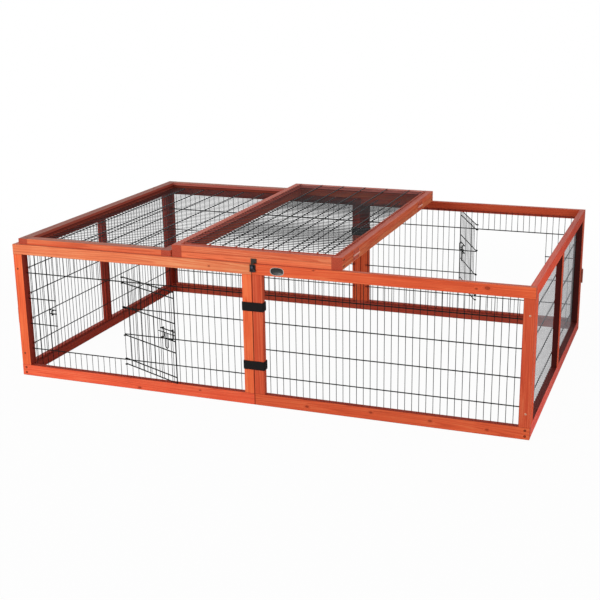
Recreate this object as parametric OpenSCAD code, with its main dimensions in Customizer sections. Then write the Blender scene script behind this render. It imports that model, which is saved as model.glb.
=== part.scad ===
// Outdoor rabbit run: six timber wall panels and three hinged lid frames, all filled with welded wire
// mesh, with a wire door in the front and in the back. X runs along the front, Y goes to the back and
// Z is up. The origin is on the ground, under the middle of the front face.

/* [Run] */
// Length along the front
run_l = 1800; // [1500:10:2200]
// Depth from the front face to the back face
run_w = 1160; // [900:10:1400]
// Height of the walls
wall_h = 480; // [430:5:640]

/* [Timber] */
// Thickness of all timber
timber_t = 20; // [16:1:26]
// Width of the stiles, top rails and lid members
member_w = 35; // [30:1:45]
// Height of the bottom rails
bottom_h = 40; // [34:1:50]
// Chamfer along the edges of the timber
edge_ease = 1; // [0.5:0.1:2]
// Joint between the two panels of a long wall
panel_gap = 0.6; // [0.3:0.1:2]

/* [Mesh] */
// Thickness of the close wires
wire_d = 1.8; // [1.4:0.1:2.2]
// Thickness of the far wires and of the wire the door fittings are bent from
far_wire_d = 3.4; // [2.2:0.1:4]
// Spacing of the close wires
wire_pitch = 22.75; // [20:0.05:28]
// Spacing of the far wires
row_pitch = 92.8; // [80:0.1:110]
// Depth that crossing wires are welded into each other
weld = 0.4; // [0.2:0.05:0.7]
// First close wire of a sheet, from the end of its frame
first_wire = 26; // [24:0.5:30]
// End of the mesh wires, from the edge of the frame
mesh_end = 22; // [21:0.5:24]
// Lowest far wire across the close wires, above the ground
first_row = 96; // [80:1:110]
// Lap of the close wires over a wall's rails
wire_lap = 10; // [6:1:14]
// Lap of the lowest and the highest far wire over the rails
hem_lap = 7; // [4:1:9]
// Far wires of the back wall, higher than those of the front wall
back_rise = 6.6; // [0:0.1:12]
// Far wires of the left end, higher than those of the front wall
left_end_rise = 11.5; // [0:0.5:14]
// Far wires of the right end, lower than those of the front wall
right_end_drop = 8; // [0:0.5:14]

/* [Wire doors] */
// Close wire of the wall mesh at the free side of the doorway, counted from the end
door_first = 5; // [4:1:6]
// Width of the doorway in mesh cells
door_cells = 12; // [9:1:14]
// Lap of the leaf over the doorway, above and below
leaf_lap = 16; // [12:1:22]
// Distance of a hinge loop from the far wire of the wall next to it
loop_shift = 4; // [3.8:0.1:5.5]
// Thickness of the upright at the free edge of the leaf
edge_wire_d = 3.5; // [3:0.1:4.5]
// Angle at which the front door stands open
front_open = 155; // [90:1:158]
// Angle at which the back door stands open
back_open = 115; // [90:1:158]

/* [Door bolts] */
// Thickness of the bolt wire
bolt_d = 3; // [2.5:0.1:4]
// Height of the bolt above the ground
bolt_z = 240; // [225:1:250]
// End of the drawn bolt, short of the leaf's free edge
bolt_back = 7; // [5:0.5:12]
// Length of the bolt rod
bolt_l = 86; // [78:1:95]
// Finger loop: its centre, from the end of the rod
pull_x = 44.5; // [42:0.5:47]
// Finger loop: width between the centres of its legs
pull_w = 15; // [12:0.5:17]
// Finger loop: length of its legs
pull_l = 45; // [30:1:60]
// Outer guide of the bolt, from the free edge of the leaf
guide_out = 20; // [18:0.5:22]
// Distance between the two guides of a bolt
guide_gap = 50; // [48:0.5:54]
// Half the height of a bolt guide
guide_half = 16; // [12:0.5:18]
// Half the height of the catch on the wall mesh
catch_half = 7; // [6:0.5:9]
// Catch, from the wire at the free side of the doorway
catch_x = 6; // [5:0.5:9]

/* [Lids] */
// Left lid, from the left end of the run
lid_left = 20; // [10:1:30]
// Right lid when closed, from the right end of the run
lid_right = 6; // [4:1:20]
// Lids, from the front face and from the back face
lid_inset = 10; // [6:1:14]
// Gap between two lids
lid_gap = 5; // [5:0.1:8]
// Gap under a lid that can be lifted
seat_gap = 0.3; // [0.2:0.05:0.6]
// First far wire of the lid mesh, from the left edge of the lid
lid_first_row = 90.5; // [70:0.5:110]

/* [Lid hinges] */
// Length of a lid hinge
lid_hinge_l = 60; // [40:1:80]
// Height of a hinge leaf on the edge of the lid
lid_leaf_w = 17; // [12:1:19]
// Thickness of a hinge leaf
lid_leaf_t = 1; // [0.8:0.1:1.4]
// Radius of the knuckles
lid_knuckle_r = 2.2; // [2:0.1:2.2]
// Centre of the front hinge, from the front face
hinge_front = 150; // [100:5:300]
// Centre of the back hinge, from the back face
hinge_back = 215; // [100:5:300]

/* [Corner hinges] */
// Height of a corner hinge
corner_hinge_l = 55; // [40:1:80]
// Underside of a corner hinge above the ground
corner_hinge_z = 194; // [150:1:260]
// Width of a leaf
corner_leaf_w = 18; // [12:1:19]
// Thickness of a leaf
corner_leaf_t = 1.5; // [1:0.1:2]
// Radius of the knuckles
corner_knuckle_r = 3.5; // [3:0.1:4.5]

/* [Hinge fit] */
// Wall of a hinge knuckle round its bore
knuckle_wall = 1; // [0.8:0.05:1]
// Clearance between pieces that turn or slide on each other
fit = 0.3; // [0.2:0.05:0.4]

/* [Straps] */
// Height of the strap webbing
strap_w = 30; // [20:1:40]
// Thickness of the webbing
strap_t = 2; // [1.5:0.1:2.5]
// Centre of the lower strap above the ground
strap_low = 138; // [125:1:150]
// Centre of the upper strap above the ground
strap_high = 338; // [320:1:345]
// Length of the overlapped end
strap_lap = 45; // [30:1:60]

/* [Lid latch] */
// Centre of the latch, to the right of the middle of the run
latch_x = 4; // [2:0.5:30]
// Pivot of the hook, below the top of the walls
latch_drop = 9; // [8:0.5:12]
// Width of the latch base
latch_w = 20; // [18:0.5:24]
// Height of the latch base
latch_h = 24; // [20:0.5:28]
// Thickness of the latch base
latch_t = 2; // [1.5:0.1:3]
// Upper edge of the latch base, below the top of the walls
latch_top = 1; // [0.5:0.5:3]
// Radius of the pivot
pivot_r = 2.2; // [1.8:0.1:2.6]
// Thickness of the turning hook
hook_t = 3; // [2:0.1:4]
// Width of the hook's nose
nose_w = 3; // [2:0.1:4]
// Width of the lip on the lid that the hook turns over
lip_w = 9; // [6:0.5:10]
// Thickness of the lip
lip_t = 2.5; // [2:0.1:3]
// Plate of the lip on the edge of the lid: its width
strike_w = 20; // [14:0.5:24]
// Plate of the lip on the edge of the lid: its height
strike_h = 15; // [12:0.5:16]
// Plate of the lip on the edge of the lid: its thickness
strike_t = 1.5; // [1:0.1:2]

/* [Hidden] */

// Colours
outer_wood = "#e05a34";
lid_wood = "#b8503f";
wire_black = "#1d2621";
strap_black = "#1f2224";
hinge_brown = "#6e2a1c";
latch_black = "#18191a";

// Sides of a mesh wire, and its radius at the corners
wire_sides = 6;
wire_corner_r = wire_d / 2 / cos(180 / wire_sides);

// Panels: length of a long wall's panel and of an end panel
long_l = (run_l - panel_gap) / 2;
end_l = run_w - 2 * timber_t;

// Wall mesh: ends of the close wires and heights of the far wires
wire_low = bottom_h - wire_lap;
wire_high = wall_h - member_w + wire_lap;
top_row = wall_h - member_w + hem_lap;
row_count = floor((top_row - row_pitch / 3 - first_row) / row_pitch) + 1;
mid_rows = [for (i = [0 : row_count - 1]) first_row + i * row_pitch];
function wall_rows(rise) = concat([bottom_h - hem_lap], [for (z = mid_rows) z + rise], [top_row]);

// Doorway between two close wires and between the lowest and the highest middle row
door_last = door_first + door_cells;
door_left = first_wire + door_first * wire_pitch;
hinge_x = first_wire + door_last * wire_pitch;
hinge_y = timber_t + wire_d / 2;
door_low = mid_rows[0];
door_high = mid_rows[row_count - 1];

// Door leaf: planes of its wires, measured outwards from the hinge wire
loop_bore_r = wire_corner_r + fit;
leaf_row_y = loop_bore_r + far_wire_d / 2;
leaf_wire_y = leaf_row_y + far_wire_d / 2 + wire_d / 2 - weld;
leaf_edge_y = leaf_row_y + far_wire_d / 2 + edge_wire_d / 2 - weld;
bolt_y = leaf_edge_y + edge_wire_d / 2 + fit + bolt_d / 2;
guide_y = bolt_y + bolt_d / 2 + fit + far_wire_d / 2;
leaf_l = door_cells * wire_pitch;
leaf_low = door_low - leaf_lap;
leaf_high = door_high + leaf_lap;
leaf_rows = concat(
    [leaf_low],
    [for (i = [0 : row_count - 1]) mid_rows[i] + (i % 2 == 0 ? loop_shift : -loop_shift)],
    [leaf_high]);

// Lids: size, places of their left edges and height of the hinge axes
lid_w = (run_l - lid_left - lid_right - 2 * lid_gap) / 3;
lid_d = run_w - 2 * lid_inset;
left_lid_x = -run_l / 2 + lid_left;
middle_lid_x = left_lid_x + lid_w + lid_gap;
right_lid_x = middle_lid_x + lid_w + lid_gap;
left_joint_x = middle_lid_x - lid_gap / 2;
right_joint_x = right_lid_x - lid_gap / 2;
lid_top = wall_h + seat_gap + timber_t;
left_joint_z = lid_top;
right_joint_z = lid_top + seat_gap / 2;
hinge_ys = [hinge_front, run_w - hinge_back];

// Latch: height of the pivot and reach of the hook over the corner of the lip
latch_z = wall_h - latch_drop;
lip_z = wall_h + seat_gap + 0.7;
lip_reach = norm([lip_w / 2, lip_z + lip_t - latch_z]);
nose_r = lip_reach + 1.5 * fit;

// ---------------------------------------------------------------- timber

// Chamfered section of a piece of timber
module section(a, b) {
    c = edge_ease;
    polygon([[c, 0], [a - c, 0], [a, c], [a, b - c], [a - c, b], [c, b], [0, b - c], [0, c]]);
}

// Timber along X, w high and timber_t deep
module bar_x(l, w) {
    rotate([90, 0, 90]) linear_extrude(l) section(timber_t, w);
}

// Timber along Y, w wide and timber_t high
module bar_y(l, w) {
    translate([0, l, 0]) rotate([90, 0, 0]) linear_extrude(l) section(w, timber_t);
}

// Timber along X lying flat, w deep and timber_t high
module flat_bar_x(l, w) {
    rotate([90, 0, 90]) linear_extrude(l) section(w, timber_t);
}

// Upright timber, w wide and timber_t deep
module stile(h, w) {
    linear_extrude(h) section(w, timber_t);
}

module top_rail(l) {
    color(outer_wood) translate([0, 0, wall_h - member_w]) bar_x(l, member_w);
}

module bottom_rail(l) {
    color(outer_wood) bar_x(l, bottom_h);
}

// Stiles between the rails, at the given places along the panel
module stiles(xs) {
    color(outer_wood)
        for (x = xs)
            translate([x, 0, bottom_h]) stile(wall_h - member_w - bottom_h, member_w);
}

function long_stiles() = [0, long_l - member_w];
function end_stiles() = [0, (end_l - member_w) / 2, end_l - member_w];

// ---------------------------------------------------------------- mesh

module wire_section(d) {
    circle(d / 2 / cos(180 / wire_sides), $fn = wire_sides);
}

// Wires along each axis, starting at the origin
module wire_x(l, d = far_wire_d) {
    rotate([90, 0, 90]) linear_extrude(l) wire_section(d);
}

module wire_y(l, d = far_wire_d) {
    translate([0, l, 0]) rotate([90, 0, 0]) linear_extrude(l) wire_section(d);
}

module wire_z(l, d = far_wire_d) {
    linear_extrude(l) wire_section(d);
}

// Places of the close wires along a frame of length l
function close_wires(l) =
    [for (i = [0 : floor((l - 2 * first_wire) / wire_pitch)]) first_wire + i * wire_pitch];

// Welded sheet in the X-Y plane, lying on z = 0: close wires along Y from y0 to y1 and far wires
// along X on top of them. Where a doorway is given as [first wire, last wire, low row, high row],
// the wires inside it are left out.
module net(l, y0, y1, rows, doorway = undef) {
    xs = close_wires(l);
    row_z = wire_d + far_wire_d / 2 - weld;
    past_row = (far_wire_d + wire_d) / 2;
    for (i = [0 : len(xs) - 1])
        translate([xs[i], 0, wire_d / 2])
            if (doorway != undef && i > doorway[0] && i < doorway[1]) {
                translate([0, y0, 0]) wire_y(doorway[2] + past_row - y0, wire_d);
                translate([0, doorway[3] - past_row, 0])
                    wire_y(y1 - doorway[3] + past_row, wire_d);
            } else {
                translate([0, y0, 0]) wire_y(y1 - y0, wire_d);
            }
    for (y = rows)
        translate([0, y, row_z])
            if (doorway != undef && y > doorway[2] + 1 && y < doorway[3] - 1) {
                translate([mesh_end, 0, 0]) wire_x(xs[doorway[0]] + wire_d - mesh_end);
                translate([xs[doorway[1]] - wire_d, 0, 0])
                    wire_x(l - mesh_end - xs[doorway[1]] + wire_d);
            } else {
                translate([mesh_end, 0, 0]) wire_x(l - 2 * mesh_end);
            }
}

// Mesh on the inside face of a wall panel, with its middle rows raised
module wall_mesh(l, rise, doorway = undef) {
    color(wire_black)
        translate([0, timber_t, 0])
            mirror([0, 1, 0]) rotate([90, 0, 0])
                net(l, wire_low, wire_high, wall_rows(rise), doorway);
}

// Catch for a door bolt: two short wires across the mesh and a loop that stands out from them
module bolt_catch() {
    loop_x = door_left - catch_x;
    loop_y = hinge_y - guide_y;
    row_y = timber_t + wire_d + far_wire_d / 2 - weld;
    color(wire_black) {
        for (side = [-1, 1]) {
            translate([door_left - wire_pitch - wire_d, row_y, bolt_z + side * catch_half])
                wire_x(wire_pitch + 2 * wire_d);
            translate([loop_x, loop_y - far_wire_d / 2, bolt_z + side * catch_half])
                wire_y(row_y - loop_y + far_wire_d / 2);
        }
        translate([loop_x, loop_y, bolt_z - catch_half]) wire_z(2 * catch_half);
    }
}

module door_wall_mesh(rise) {
    union() {
        wall_mesh(long_l, rise, [door_first, door_last, door_low + rise, door_high + rise]);
        translate([0, 0, rise]) bolt_catch();
    }
}

// ---------------------------------------------------------------- wire doors

// Loop of a leaf wire round the hinge wire
module hinge_loop() {
    difference() {
        cylinder(h = far_wire_d, r = loop_bore_r + far_wire_d, center = true, $fn = 32);
        cylinder(h = far_wire_d + 2, r = loop_bore_r, center = true, $fn = 32);
    }
}

// Guide of the bolt: two legs and the wire that joins them
module bolt_guide() {
    for (side = [-1, 1])
        translate([0, leaf_row_y, bolt_z + side * guide_half])
            wire_y(guide_y - leaf_row_y + far_wire_d / 2);
    translate([0, guide_y, bolt_z - guide_half]) wire_z(2 * guide_half);
}

// Door leaf, from its hinge wire at the origin along +X, with its outer side towards +Y
module door_leaf() {
    color(wire_black)
        union() {
            for (z = leaf_rows)
                translate([0, 0, z]) {
                    hinge_loop();
                    translate([0, leaf_row_y, 0]) wire_x(leaf_l + edge_wire_d / 2);
                }
            for (i = [1 : door_cells - 1])
                translate([i * wire_pitch, leaf_wire_y, leaf_low - far_wire_d])
                    wire_z(leaf_high - leaf_low + 2 * far_wire_d, wire_d);
            translate([leaf_l, leaf_edge_y, leaf_low - far_wire_d])
                wire_z(leaf_high - leaf_low + 2 * far_wire_d, edge_wire_d);
            for (side = [-1, 1])
                translate([leaf_l - guide_out - guide_gap - far_wire_d, leaf_row_y,
                           bolt_z + side * guide_half])
                    wire_x(guide_out + guide_gap + far_wire_d + edge_wire_d / 2);
            for (x = [leaf_l - guide_out - guide_gap, leaf_l - guide_out])
                translate([x, 0, 0]) bolt_guide();
        }
}

// Bolt of bent wire: a rod with a finger loop that hangs from it
module door_bolt() {
    tip = bolt_d / 3;
    color(wire_black)
        translate([leaf_l - bolt_back, bolt_y, bolt_z])
            union() {
                translate([-bolt_l, 0, 0]) rotate([0, 90, 0]) cylinder(h = bolt_l - tip, d = bolt_d, $fn = 24);
                translate([-tip, 0, 0]) rotate([0, 90, 0])
                    cylinder(h = tip, d1 = bolt_d, d2 = bolt_d / 2, $fn = 24);
                for (side = [-1, 1])
                    translate([-pull_x + side * pull_w / 2, 0, -pull_l])
                        cylinder(h = pull_l, d = bolt_d, $fn = 24);
                translate([-pull_x, 0, -pull_l]) rotate([90, 0, 0]) rotate([0, 0, 180])
                    rotate_extrude(angle = 180, $fn = 32)
                        translate([pull_w / 2, 0]) circle(d = bolt_d, $fn = 24);
            }
}

// Places a leaf or bolt on the hinge wire, open by the given angle
module on_door_hinge(open) {
    translate([-run_l / 2 + hinge_x, hinge_y, 0]) rotate([0, 0, 180 + open]) children();
}

// ---------------------------------------------------------------- lids

module lid_side_rails() {
    color(lid_wood)
        for (x = [0, lid_w - member_w])
            translate([x, 0, 0]) bar_y(lid_d, member_w);
}

module lid_cross_rails() {
    color(lid_wood)
        for (y = [0, lid_d - member_w])
            translate([member_w, y, 0]) flat_bar_x(lid_w - 2 * member_w, member_w);
}

// Mesh under the lid, with its close wires along X
module lid_mesh() {
    last_row = lid_w - member_w + wire_lap;
    rows = concat([first_wire],
        [for (i = [0 : floor((last_row - lid_first_row) / row_pitch)]) lid_first_row + i * row_pitch]);
    color(wire_black)
        rotate(a = 180, v = [1, 1, 0]) net(lid_d, mesh_end, lid_w - mesh_end, rows);
}

module on_left_lid() {
    translate([left_lid_x, lid_inset, wall_h]) children();
}

module on_middle_lid() {
    translate([middle_lid_x, lid_inset, wall_h + seat_gap]) children();
}

// The right lid is folded over its joint and lies on the middle lid
module on_right_lid() {
    translate([right_joint_x, 0, right_joint_z])
        rotate([0, 180, 0])
            translate([right_lid_x - right_joint_x, lid_inset, wall_h + seat_gap - right_joint_z])
                children();
}

// ---------------------------------------------------------------- hinges

// Hinge leaf, its axis along Z from z = 0 to l. The plate lies on the face x = -e and points to -Y.
// One leaf has the two outer knuckles and the other the middle one.
module hinge_leaf(l, w, t, r, e, outer) {
    third = l / 3;
    spans = outer ? [[0, third - fit / 2], [2 * third + fit / 2, l]]
                  : [[third + fit / 2, 2 * third - fit / 2]];
    color(hinge_brown)
        difference() {
            union() {
                translate([-e, -w, 0]) cube([t, w - r - 2 * fit, l]);
                for (s = spans)
                    translate([0, 0, s[0]]) {
                        cylinder(h = s[1] - s[0], r = r, $fn = 32);
                        translate([-e, -w, 0]) cube([t, w, s[1] - s[0]]);
                    }
            }
            translate([0, 0, -1]) cylinder(h = l + 2, r = r - knuckle_wall, $fn = 32);
        }
}

module hinge_pin(l, r) {
    color(hinge_brown) cylinder(h = l, r = r - knuckle_wall - fit, $fn = 24);
}

// Places a piece at both hinges of a lid joint, its axis along the depth of the run
module at_lid_hinges(x, z) {
    for (y = hinge_ys)
        translate([x, y + lid_hinge_l / 2, z]) rotate([90, 0, 0]) children();
}

module lid_leaf(outer) {
    hinge_leaf(lid_hinge_l, lid_leaf_w, lid_leaf_t, lid_knuckle_r, lid_gap / 2, outer);
}

module corner_leaf(outer) {
    hinge_leaf(corner_hinge_l, corner_leaf_w, corner_leaf_t, corner_knuckle_r,
        corner_knuckle_r + fit, outer);
}

// Places a piece at the back right corner and at the front left corner
module at_corners() {
    for (turn = [0, 1])
        translate([0, turn * run_w, 0])
            rotate([0, 0, turn * 180])
                translate([run_l / 2 + corner_knuckle_r + fit, run_w - timber_t, corner_hinge_z])
                    children();
}

// ---------------------------------------------------------------- straps

// One strap: a band round both middle stiles and the mesh on them, with an overlapped end inside
module strap() {
    x = member_w + panel_gap / 2 + fit;
    y0 = -fit;
    y1 = timber_t + wire_d + far_wire_d - weld + fit;
    translate([0, 0, -strap_w / 2])
        linear_extrude(strap_w) {
            difference() {
                translate([-x - strap_t, y0 - strap_t]) square([2 * (x + strap_t), y1 - y0 + 2 * strap_t]);
                translate([-x, y0]) square([2 * x, y1 - y0]);
            }
            translate([x - strap_lap, y1 + strap_t / 2]) square([strap_lap, 1.5 * strap_t]);
        }
}

module strap_pair() {
    color(strap_black)
        for (z = [strap_low, strap_high])
            translate([0, 0, z]) strap();
}

// ---------------------------------------------------------------- latch

// Base plate on the front face of the top rail, with the headed pivot of the hook
module latch_base() {
    head_t = 1.5;
    color(latch_black)
        translate([latch_x, 0, latch_z])
            rotate([90, 0, 0]) {
                translate([-latch_w / 2, latch_drop - latch_top - latch_h, 0])
                    cube([latch_w, latch_h, latch_t]);
                cylinder(h = latch_t + hook_t + 2 * fit + head_t, r = pivot_r, $fn = 32);
                translate([0, 0, latch_t + hook_t + 2 * fit])
                    cylinder(h = head_t, r = 2 * pivot_r, $fn = 32);
            }
}

// Sector of a disc between two angles
module sector(r, a0, a1) {
    intersection() {
        circle(r, $fn = 64);
        polygon([[0, 0], 2 * r * [cos(a0), sin(a0)], 2 * r * [cos((a0 + a1) / 2), sin((a0 + a1) / 2)],
                 2 * r * [cos(a1), sin(a1)]]);
    }
}

// Hook: an arm on the pivot and a nose that turns in over the lip, drawn turned aside by rest
module latch_hook(rest) {
    color(latch_black)
        translate([latch_x, 0, latch_z])
            rotate([90, 0, 0])
                translate([0, 0, latch_t + fit])
                    rotate([0, 0, rest])
                        linear_extrude(hook_t)
                            difference() {
                                union() {
                                    circle(2.2 * pivot_r, $fn = 48);
                                    sector(nose_r + nose_w, 125, 150);
                                    difference() {
                                        sector(nose_r + nose_w, 66, 150);
                                        circle(nose_r, $fn = 64);
                                    }
                                }
                                circle(pivot_r + fit, $fn = 32);
                            }
}

// Plate on the front edge of the middle lid, with the lip that the hook turns over
module latch_strike() {
    reach = latch_t + fit + hook_t;
    color(latch_black)
        translate([latch_x, lid_inset, 0]) {
            translate([-strike_w / 2, -strike_t, lip_z]) cube([strike_w, strike_t, strike_h]);
            translate([-lip_w / 2, -lid_inset - reach, lip_z]) cube([lip_w, lid_inset + reach, lip_t]);
        }
}

// ---------------------------------------------------------------- places of the panels

module on_front_left() {
    translate([-run_l / 2, 0, 0]) children();
}

module on_front_right() {
    translate([panel_gap / 2, 0, 0]) children();
}

module on_left_end() {
    translate([-run_l / 2, run_w - timber_t, 0]) rotate([0, 0, -90]) children();
}

// The back and the right end are the front and the left end turned half round
module turned() {
    translate([0, run_w, 0]) rotate([0, 0, 180]) children();
}

// ---------------------------------------------------------------- nodes

on_front_left() top_rail(long_l);  // front_left_top_rail
on_front_left() bottom_rail(long_l);  // front_left_bottom_rail
on_front_left() stiles(long_stiles());  // front_left_stiles
on_front_left() door_wall_mesh(0);  // front_left_mesh
on_front_right() top_rail(long_l);  // front_right_top_rail
on_front_right() bottom_rail(long_l);  // front_right_bottom_rail
on_front_right() stiles(long_stiles());  // front_right_stiles
on_front_right() wall_mesh(long_l, 0);  // front_right_mesh
turned() on_front_right() top_rail(long_l);  // back_left_top_rail
turned() on_front_right() bottom_rail(long_l);  // back_left_bottom_rail
turned() on_front_right() stiles(long_stiles());  // back_left_stiles
turned() on_front_right() wall_mesh(long_l, back_rise);  // back_left_mesh
turned() on_front_left() top_rail(long_l);  // back_right_top_rail
turned() on_front_left() bottom_rail(long_l);  // back_right_bottom_rail
turned() on_front_left() stiles(long_stiles());  // back_right_stiles
turned() on_front_left() door_wall_mesh(back_rise);  // back_right_mesh
on_left_end() top_rail(end_l);  // left_end_top_rail
on_left_end() bottom_rail(end_l);  // left_end_bottom_rail
on_left_end() stiles(end_stiles());  // left_end_stiles
on_left_end() wall_mesh(end_l, left_end_rise);  // left_end_mesh
turned() on_left_end() top_rail(end_l);  // right_end_top_rail
turned() on_left_end() bottom_rail(end_l);  // right_end_bottom_rail
turned() on_left_end() stiles(end_stiles());  // right_end_stiles
turned() on_left_end() wall_mesh(end_l, -right_end_drop);  // right_end_mesh

on_left_lid() lid_side_rails();  // left_lid_side_rails
on_left_lid() lid_cross_rails();  // left_lid_cross_rails
on_left_lid() lid_mesh();  // left_lid_mesh
on_middle_lid() lid_side_rails();  // middle_lid_side_rails
on_middle_lid() lid_cross_rails();  // middle_lid_cross_rails
on_middle_lid() lid_mesh();  // middle_lid_mesh
on_right_lid() lid_side_rails();  // right_lid_side_rails
on_right_lid() lid_cross_rails();  // right_lid_cross_rails
on_right_lid() lid_mesh();  // right_lid_mesh

at_lid_hinges(left_joint_x, left_joint_z) lid_leaf(true);  // left_lid_hinge_leaves
at_lid_hinges(left_joint_x, left_joint_z) mirror([1, 0, 0]) lid_leaf(false);  // middle_lid_left_hinge_leaves
at_lid_hinges(left_joint_x, left_joint_z) hinge_pin(lid_hinge_l, lid_knuckle_r);  // left_joint_hinge_pins
at_lid_hinges(right_joint_x, right_joint_z) lid_leaf(true);  // middle_lid_right_hinge_leaves
at_lid_hinges(right_joint_x, right_joint_z) mirror([0, 1, 0]) lid_leaf(false);  // right_lid_hinge_leaves
at_lid_hinges(right_joint_x, right_joint_z) hinge_pin(lid_hinge_l, lid_knuckle_r);  // right_joint_hinge_pins

on_door_hinge(front_open) door_leaf();  // front_door
on_door_hinge(front_open) door_bolt();  // front_door_bolt
turned() translate([0, 0, back_rise]) on_door_hinge(back_open) door_leaf();  // back_door
turned() translate([0, 0, back_rise]) on_door_hinge(back_open) door_bolt();  // back_door_bolt

strap_pair();  // front_straps
turned() strap_pair();  // back_straps

latch_base();  // lid_latch_base
latch_hook(165);  // lid_latch_hook
latch_strike();  // lid_latch_strike

union() {  // corner_hinge_leaves
    at_corners() corner_leaf(true);
    at_corners() mirror([0, 1, 0]) corner_leaf(false);
}
at_corners() hinge_pin(corner_hinge_l, corner_knuckle_r);  // corner_hinge_pins
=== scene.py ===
"""Outdoor rabbit run: stained timber, coated wire, hinges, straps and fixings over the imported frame."""

import math
import random
from collections import namedtuple

import bmesh
import bpy
from mathutils import Matrix, Vector


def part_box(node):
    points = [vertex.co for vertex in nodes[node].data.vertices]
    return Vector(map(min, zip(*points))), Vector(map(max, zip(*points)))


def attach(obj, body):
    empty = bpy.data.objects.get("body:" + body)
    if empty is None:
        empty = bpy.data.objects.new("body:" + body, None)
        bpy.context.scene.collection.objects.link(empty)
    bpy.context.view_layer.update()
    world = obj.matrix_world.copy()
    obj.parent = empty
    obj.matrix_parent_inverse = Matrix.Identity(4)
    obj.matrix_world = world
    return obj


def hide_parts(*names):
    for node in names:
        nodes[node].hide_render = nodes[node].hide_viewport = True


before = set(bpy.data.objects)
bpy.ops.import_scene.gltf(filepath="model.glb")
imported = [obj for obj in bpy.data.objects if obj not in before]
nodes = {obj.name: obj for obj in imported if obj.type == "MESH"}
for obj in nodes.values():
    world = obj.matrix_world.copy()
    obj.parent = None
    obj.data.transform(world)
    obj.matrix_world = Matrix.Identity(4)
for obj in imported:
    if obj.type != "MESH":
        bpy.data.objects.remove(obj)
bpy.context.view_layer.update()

MM = 0.001
PI = math.pi
RIGHT, BACK, UP = Vector((1, 0, 0)), Vector((0, 1, 0)), Vector((0, 0, 1))
AXES = {"x": RIGHT, "y": BACK, "z": UP}

# ---- sizes taken from the frame

LONG_WALLS = ("front_left", "front_right", "back_left", "back_right")
WALLS = LONG_WALLS + ("left_end", "right_end")
LID_BODY = {"left_lid": "run_frame", "middle_lid": "middle_lid", "right_lid": "right_lid"}

LEFT_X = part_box("left_end_top_rail")[0].x
RIGHT_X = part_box("right_end_top_rail")[1].x
WALL_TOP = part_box("right_end_top_rail")[1].z
FRONT_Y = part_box("front_left_top_rail")[0].y
BACK_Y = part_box("back_left_top_rail")[1].y
TIMBER_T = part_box("front_left_top_rail")[1].y - FRONT_Y
MEMBER_W = WALL_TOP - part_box("front_left_top_rail")[0].z
BOTTOM_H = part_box("front_left_bottom_rail")[1].z
LID_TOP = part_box("middle_lid_side_rails")[1].z

# Direction from the outer face of each wall to its inside, and the plane of its outer face
INWARD = {
    "front_left": (BACK, FRONT_Y),
    "front_right": (BACK, FRONT_Y),
    "back_left": (-BACK, -BACK_Y),
    "back_right": (-BACK, -BACK_Y),
    "left_end": (RIGHT, LEFT_X),
    "right_end": (-RIGHT, -RIGHT_X),
}


# ---- shader helpers

# How squarely a face has to look along a direction to count: not at all, fully
FACE_EDGE = (0.8, 0.95)


def linear(rgb):
    """sRGB colour in 0..255 as a linear RGBA tuple."""
    out = []
    for c in rgb:
        c = c / 255
        out.append(c / 12.92 if c <= 0.04045 else ((c + 0.055) / 1.055) ** 2.4)
    return (*out, 1.0)


class Field:
    """Output of a shader node. The operators add the Math nodes that work them out."""

    def __init__(self, tree, socket):
        self.tree = tree
        self.socket = socket

    def __add__(self, other):
        return self.tree.math("ADD", self, other)

    def __radd__(self, other):
        return self.tree.math("ADD", other, self)

    def __sub__(self, other):
        return self.tree.math("SUBTRACT", self, other)

    def __rsub__(self, other):
        return self.tree.math("SUBTRACT", other, self)

    def __mul__(self, other):
        return self.tree.math("MULTIPLY", self, other)

    def __rmul__(self, other):
        return self.tree.math("MULTIPLY", other, self)

    def __truediv__(self, other):
        return self.tree.math("DIVIDE", self, other)

    def __abs__(self):
        return self.tree.math("ABSOLUTE", self)

    def __lt__(self, other):
        return self.tree.math("LESS_THAN", self, other)

    def __gt__(self, other):
        return self.tree.math("GREATER_THAN", self, other)


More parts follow.
